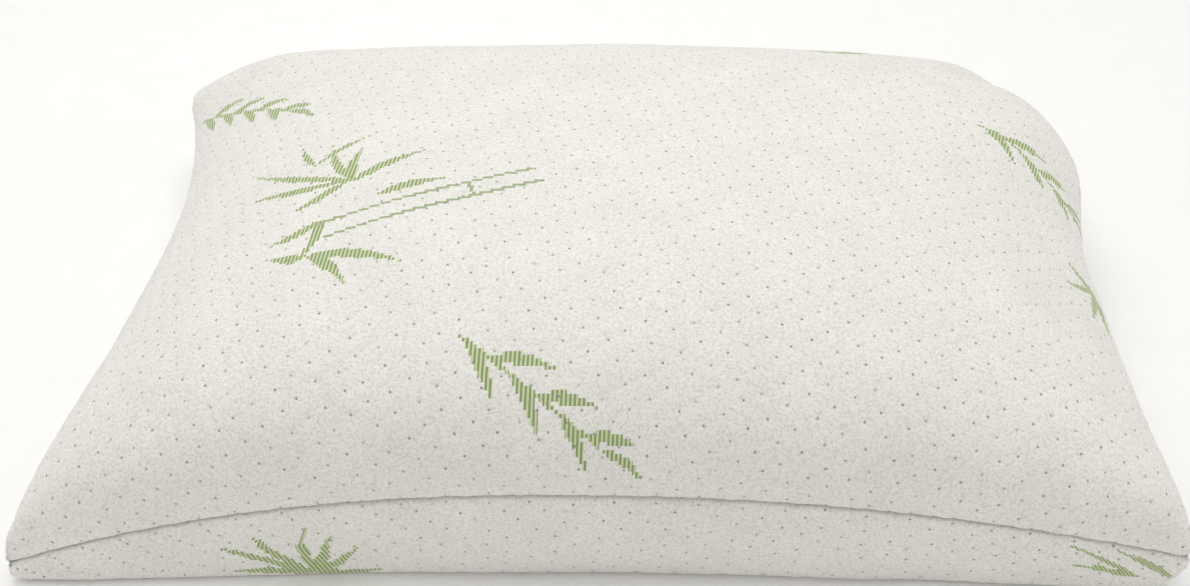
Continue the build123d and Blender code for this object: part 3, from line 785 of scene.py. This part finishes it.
# %% [markdown]
# ## Inside the cover
# A woven liner bag holds the foam crumbs.  None of it shows when the zip is shut, but it is
# there when the pillow is cut open or unzipped.  Each layer is the cover's own surface, moved
# in along its normals, and held back further behind the zip so that the slider has room.

# %% Liner and fill
BEHIND_ZIP_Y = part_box("zip_slider")[0].y - 0.9 * MM
LINER_DEPTH, LINER_WALL, FOAM_DEPTH = 2.6 * MM, 0.8 * MM, 4.4 * MM
FOAM_UNEVEN = 0.004                     # most that a point is drawn in, as a share of its distance


def deeper(side, depth):
    """A panel's surface moved in by depth on a coarser grid, and kept clear of the slider."""
    outer, outward = (a[::INNER_STEP, ::INNER_STEP] for a in panels[side])
    inner = blur(outer, 5) - outward * depth
    inner[..., 1] = np.minimum(inner[..., 1], BEHIND_ZIP_Y - depth / 4)
    inner[..., 2] = np.maximum(inner[..., 2], depth)
    return inner


def closed_bag(name, depth, material):
    """One closed surface from both panels' deeper surfaces, joined along their rims."""
    top, bottom = deeper(1, depth), deeper(-1, depth)
    index = np.arange(top[..., 0].size).reshape(top.shape[:2])
    rim_at = rim(index)
    middle = (top.reshape(-1, 3)[rim_at] + bottom.reshape(-1, 3)[rim_at]) / 2
    for panel in (top, bottom):
        panel.reshape(-1, 3)[rim_at] = middle
    lower = index.copy()
    lower[1:-1, 1:-1] = index.size + np.arange((index.shape[0] - 2) * (index.shape[1] - 2)).reshape(
        index.shape[0] - 2, -1)
    quads = grid_faces(*index.shape)
    faces = np.concatenate([index.ravel()[quads][:, ::-1], lower.ravel()[quads]])
    points = np.concatenate([top.reshape(-1, 3), bottom[1:-1, 1:-1].reshape(-1, 3)])
    return put(name, points, faces, material)


for name, side in (("top", 1), ("bottom", -1)):
    inner = deeper(side, LINER_DEPTH)
    facing = normals(inner) * side
    wall = np.full(inner.shape[:2], LINER_WALL)
    piece, _ = shell(f"liner_{name}_cloth", inner, facing, side, wall, 1, liner_weave)
    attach(piece, "pillow")
    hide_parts(f"liner_{name}_panel")
foam = closed_bag("foam_crumbs", FOAM_DEPTH, foam_crumb)
co = np.zeros(len(foam.data.vertices) * 3)
foam.data.vertices.foreach_get("co", co)
short = FOAM_UNEVEN * np.random.default_rng(7).uniform(0, 1, (len(foam.data.vertices), 1))
co = co.reshape(-1, 3) * (1 - short)
co[:, 2] = np.maximum(co[:, 2], FOAM_DEPTH)
foam.data.vertices.foreach_set("co", co.ravel())
foam.data.update()
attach(foam, "pillow")
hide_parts("foam_fill")


# %% Seam threads
def seam_thread(name, node, depth, radius, gap):
    """A thread along the panels' joined rim, moved in by depth; gap leaves out the zip's length."""
    outer = panels[1][0]
    line = outer.reshape(-1, 3)[rim(np.arange(outer[..., 0].size).reshape(outer.shape[:2]))]
    inwards = unit(line[:, :2] - line[:, :2].mean(0))
    line = line[::3].copy()
    line[:, :2] -= inwards[::3] * depth
    if gap:
        at_back = line[:, 1] > 0.15
        keep = ~(at_back & (np.abs(line[:, 0]) < ZIP_HALF + 4 * MM))
        start = np.flatnonzero(~keep)[-1] + 1
        line = np.roll(line, -start, 0)[:keep.sum()]
    points, faces = tube(line, radius, 5, closed=not gap)
    piece = put(name, points, faces, thread)
    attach(piece, "pillow")
    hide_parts(node)


seam_thread("cover_seam_stitching", "cover_seam_thread", 1.2 * MM, 0.35 * MM, True)
seam_thread("liner_seam_stitching", "liner_seam_thread", 9.0 * MM, 0.15 * MM, False)

# %% [markdown]
# ## The zip
# A nylon coil zip: each row is one filament wound into a flattened spring and sewn to its tape,
# and the two springs' turns sit in each other's gaps.  The slider and tab stay where the CAD
# model has them, with their sharp edges eased as a die casting's are.

# %% Coils
COIL_PITCH, WIRE = 1.3 * MM, 0.3 * MM
INTERLOCK = 0.4 * MM
HALF_TURN_ON = COIL_PITCH / 2 * 0.9     # sets the lower row's turns into the upper row's gaps
TURN_POINTS, FLATTENED = 12, 0.7        # points to a turn, and a power that squares the turn off
for name, side in (("upper", 1), ("lower", -1)):
    low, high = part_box(f"zip_coil_{name}")
    turns = (high.x - low.x - 2 * WIRE) / COIL_PITCH
    angle = np.linspace(0, turns, int(turns * TURN_POINTS)) * 2 * math.pi
    head = ZIP_Z - side * INTERLOCK
    tail = high.z if side > 0 else low.z
    flattened = np.sign(np.cos(angle)) * np.abs(np.cos(angle)) ** FLATTENED
    ahead = HALF_TURN_ON if side < 0 else 0
    path = np.stack([low.x + WIRE + angle / (2 * math.pi) * COIL_PITCH + ahead,
                     (low.y + high.y) / 2 + flattened * ((high.y - low.y) / 2 - WIRE),
                     (head + tail) / 2 + np.sin(angle) * (abs(tail - head) / 2 - WIRE)], -1)
    path[:, 0] = np.minimum(path[:, 0], high.x - WIRE)
    points, faces = tube(path[path[:, 0] < high.x - WIRE], WIRE, 5)
    piece = put(f"zip_coil_{name}_filament", points, faces, nylon)
    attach(piece, "pillow")
    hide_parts(f"zip_coil_{name}")
    print(piece.name, "turns", round(turns))


# %% Slider, tab and stops
def eased(node, name, body, width):
    """A copy of a CAD node with its loose triangles merged and its sharp edges rounded by a bevel."""
    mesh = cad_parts[node].data.copy()
    work = bmesh.new()
    work.from_mesh(mesh)
    bmesh.ops.remove_doubles(work, verts=work.verts, dist=1e-6)
    bmesh.ops.dissolve_limit(work, angle_limit=math.radians(4), verts=work.verts, edges=work.edges)
    work.to_mesh(mesh)
    work.free()
    mesh.materials.clear()
    mesh.materials.append(enamel)
    piece = bpy.data.objects.new(name, mesh)
    bpy.context.scene.collection.objects.link(piece)
    bevel = piece.modifiers.new("eased_edges", "BEVEL")
    bevel.width, bevel.segments, bevel.limit_method = width, 2, "ANGLE"
    bevel.angle_limit = math.radians(35)
    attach(piece, body)
    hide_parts(node)
    return piece


eased("zip_slider", "zip_slider_casting", "slider", 0.18 * MM)
eased("zip_pull_tab", "zip_pull_tab_casting", "pull_tab", 0.2 * MM)
eased("zip_top_stops", "zip_top_stop_clips", "pillow", 0.2 * MM)
eased("zip_bottom_stop", "zip_bottom_stop_clip", "pillow", 0.2 * MM)
for name in ("upper", "lower"):
    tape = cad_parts[f"zip_tape_{name}"]
    tape.data.materials.clear()
    tape.data.materials.append(tape_weave)


# %% Stitches along the zip
def capsules(starts, ends, radius, out):
    """Short stitches: each a thin tube with its middle lifted and its ends sunk in the cloth."""
    sides = 6
    t = np.array([0, 0.12, 0.5, 0.88, 1])
    swell = np.array([0.25, 0.9, 1.0, 0.9, 0.25])
    centre = starts[:, None] * (1 - t[:, None]) + ends[:, None] * t[:, None]
    centre = centre + out[:, None] * (radius * (np.array([-0.9, 0.1, 0.5, 0.1, -0.9])))[:, None]
    ahead = unit(ends - starts)
    side = unit(np.cross(ahead, out))
    up = np.cross(side, ahead)
    turn = np.arange(sides) * 2 * math.pi / sides
    ring = np.cos(turn)[:, None] * side[:, None] + np.sin(turn)[:, None] * up[:, None]
    points = centre[:, :, None] + radius * swell[None, :, None, None] * ring[:, None]
    one = grid_faces(len(t), sides, wrap=True)
    each = len(t) * sides
    faces = [(one + k * each).tolist() for k in range(len(starts))]
    flat_faces = [face for group in faces for face in group]
    for k in range(len(starts)):
        flat_faces += [[k * each + n for n in range(sides)][::-1],
                       [k * each + (len(t) - 1) * sides + n for n in range(sides)]]
    return points, flat_faces


STITCH_PITCH, STITCH_LENGTH, STITCH_RADIUS = 4.0 * MM, 3.2 * MM, 0.3 * MM
STITCHED_IN = 3.5 * MM                  # from a panel's folded edge to its line of stitches
TACK_THREADS, TACK_RADIUS, TACK_OUT = 16, 0.35 * MM, 0.6 * MM
for name, side in (("upper", 1), ("lower", -1)):
    outer, outward = panels[side]
    rows_in = STITCHED_IN / STITCH
    k, share = int(rows_in), rows_in % 1
    line = outer[:, -1 - k] * (1 - share) + outer[:, -2 - k] * share
    lift = outward[:, -1 - k]
    x = np.arange(-ZIP_HALF - 4 * MM, ZIP_HALF + 2 * MM, STITCH_PITCH)
    starts, ends = (between(xs, line[:, 0], line) for xs in (x, x + STITCH_LENGTH))
    out = unit(between(x, line[:, 0], lift))
    points, faces = capsules(starts, ends, STITCH_RADIUS, out)
    piece = put(f"zip_stitches_{name}", points, faces, thread)
    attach(piece, "pillow")
    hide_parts(f"zip_stitching_{name}")
starts, ends = [], []
low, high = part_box("zip_bar_tacks")
for hand in (-1, 1):
    for z in np.linspace(low.z + MM, high.z - MM, TACK_THREADS):
        starts.append((hand * (ZIP_HALF + 1 * MM), ZIP_EDGE_Y + TACK_OUT, z))
        ends.append((hand * (ZIP_HALF + 3 * MM), ZIP_EDGE_Y + TACK_OUT, z + 0.25 * MM))
starts, ends = np.array(starts), np.array(ends)
points, faces = capsules(starts, ends, TACK_RADIUS, np.tile([0.0, 1.0, 0.0], (len(starts), 1)))
tacks = put("zip_bar_tack_threads", points, faces, thread)
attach(tacks, "pillow")
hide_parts("zip_bar_tacks")

# %% [markdown]
# ## The care label
# A blank satin tag, caught in the back seam beside the zip.  It hangs over the lower panel and
# its free end curls away from it a little.

# %% Label
LABEL = np.array([30, 40]) * MM
ACROSS, DOWN = 13, 17                   # points across the label and down it
ROWS_BELOW = 40                         # rows of stitches under the seam that it can hang over
LABEL_OFF, LABEL_CURL = 0.9 * MM, 2.2 * MM
LABEL_WALL = 0.25 * MM
low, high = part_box("care_label")
outer, outward = panels[-1]
back = outer[:, ::-1]
back_out = outward[:, ::-1]
wide, tall = np.linspace(low.x, high.x, ACROSS), np.linspace(0, LABEL[1], DOWN)
reach = np.stack([between(wide, back[:, r, 0], back[:, r]) for r in range(ROWS_BELOW)], 1)
facing = np.stack([between(wide, back[:, r, 0], back_out[:, r]) for r in range(ROWS_BELOW)], 1)
steps = np.linalg.norm(np.diff(reach, axis=1), axis=-1)
run = np.concatenate([np.zeros((ACROSS, 1)), np.cumsum(steps, 1)], 1)
hang = np.stack([between(tall, run[k], reach[k]) for k in range(ACROSS)])
lift = unit(np.stack([between(tall, run[k], facing[k]) for k in range(ACROSS)]))
curl = LABEL_OFF + LABEL_CURL * (tall / LABEL[1]) ** 3
hang = hang + lift * curl[None, :, None]
satin_wall = np.full(hang.shape[:2], LABEL_WALL)
label, _ = shell("blank_care_label", hang, unit(normals(hang) * -1), -1, satin_wall, 1, satin)
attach(label, "pillow")
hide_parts("care_label")

# %% [markdown]
# ## Floor
# White paper, with only the faintest tooth.

# %% Floor
REACH, BELOW = 60.0, 0.2 * MM           # the paper lies just under the cloth, so their faces don't fight
paper = grained("matt_paper", "#F6F6F5", "#FBFBFA", 30.0, 0.05, Roughness=0.95)
corners = np.array([[-1, -1, 0], [1, -1, 0], [1, 1, 0], [-1, 1, 0]]) * REACH - [0, 0, BELOW]
floor = put("floor", corners, np.array([[0, 1, 2, 3]]), paper)
